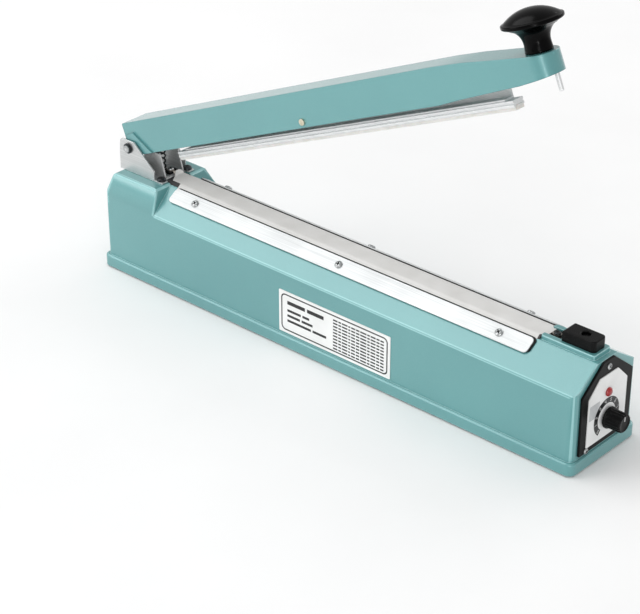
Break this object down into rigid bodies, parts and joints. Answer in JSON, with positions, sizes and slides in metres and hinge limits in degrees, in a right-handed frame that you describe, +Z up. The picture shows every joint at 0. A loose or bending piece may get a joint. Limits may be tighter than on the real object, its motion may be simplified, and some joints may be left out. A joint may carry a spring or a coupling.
{
  "type": "impulse heat sealer",
  "caption": "Hand-operated bench heat sealer: long teal casing with a heated sealing bed, a sprung hinged arm with a pressure bar and round knob, and a dial on the end panel.",
  "frame": {"origin": "middle of the footprint, on the surface that the rubber feet stand on", "axes": "+X along the casing from the hinge end to the control panel, +Y across it to the rear, +Z up"},
  "size_m": [0.568, 0.092, 0.37],
  "materials": {
    "paint": "teal enamel, semi-gloss with a faint metallic fleck",
    "polished_plate": "satin",
    "steel": "zinc plated, satin",
    "dark_steel": "blackened",
    "brass": "satin",
    "black_gloss": "glossy",
    "black_matte": "matt",
    "rubber": "matt",
    "silicone": "matt",
    "cloth": "glass cloth coated with PTFE, slightly see-through",
    "element": "bright resistance alloy",
    "phenolic": "matt moulded board",
    "label": "printed film, satin",
    "panel": "printed sheet, satin",
    "lamp": "clear tinted, glossy",
    "board": "solder resist",
    "coil": "varnished winding",
    "core": "laminated steel, dull",
    "ivory": "matt",
    "washer": "matt nylon"
  },
  "bodies": {
    "base": {"casing": "paint", "bottom_plate": "steel", "bottom_plate_screws": "steel", "rubber_feet": "rubber", "rating_label": "label", "hinge_bracket": "steel", "hinge_bracket_screws": "dark_steel", "hinge_pin": "steel", "pin_clips": "dark_steel", "hinge_washers": "washer", "spring_bracket": "steel", "return_spring": "dark_steel", "heater_bed": "phenolic", "heating_element": "element", "ptfe_cloth": "cloth", "front_gasket": "rubber", "rear_gasket": "rubber", "front_cover_plate": "polished_plate", "rear_cover_plate": "polished_plate", "cover_plate_screws": "steel", "hinge_end_terminal": "black_matte", "panel_end_terminal": "black_matte", "terminal_screws": "brass", "switch_block": "black_matte", "plunger_spring": "steel", "microswitch": "black_matte", "microswitch_bracket": "steel", "panel_bezel": "black_matte", "panel_face": "panel", "panel_screws": "steel", "pilot_lamp": "lamp", "lamp_holder": "ivory", "potentiometer": "steel", "potentiometer_nut": "steel", "transformer_core": "core", "transformer_coil": "coil", "transformer_frame": "steel", "transformer_screws": "steel", "timer_board": "board", "board_parts": "black_matte", "board_posts": "ivory", "fuse_holder": "black_matte", "fuse_cap": "black_gloss", "cord_gland": "black_matte"},
    "arm": {"arm_channel": "paint", "bar_holder": "steel", "bar_screw": "brass", "pressure_bar": "polished_plate", "silicone_strip": "silicone", "handle_knob": "black_gloss", "handle_bolt": "steel", "switch_rod": "steel", "switch_rod_nuts": "steel"},
    "dial": {"control_knob": "black_matte", "control_shaft": "steel"},
    "plunger": {"switch_plunger": "black_matte", "microswitch_button": "lamp"}
  },
  "joints": [
    {"name": "arm_hinge", "type": "hinge", "parent": "base", "child": "arm", "pos_m": [-0.2685, 0, 0.119], "axis": [0, 1, 0], "range_deg": [-35, 23.45], "stiffness_Nm_per_rad": 12, "springref_deg": -5.73, "deforming": ["return_spring"]},
    {"name": "dial_turn", "type": "hinge", "parent": "base", "child": "dial", "pos_m": [0.263, 0, 0.0395], "axis": [1, 0, 0], "range_deg": [-135, 135]},
    {"name": "plunger_press", "type": "slide", "parent": "base", "child": "plunger", "axis": [0, 0, -1], "range_m": [0, 0.002], "stiffness_N_per_m": 800, "springref_m": -0.001, "deforming": ["plunger_spring"]}
  ]
}
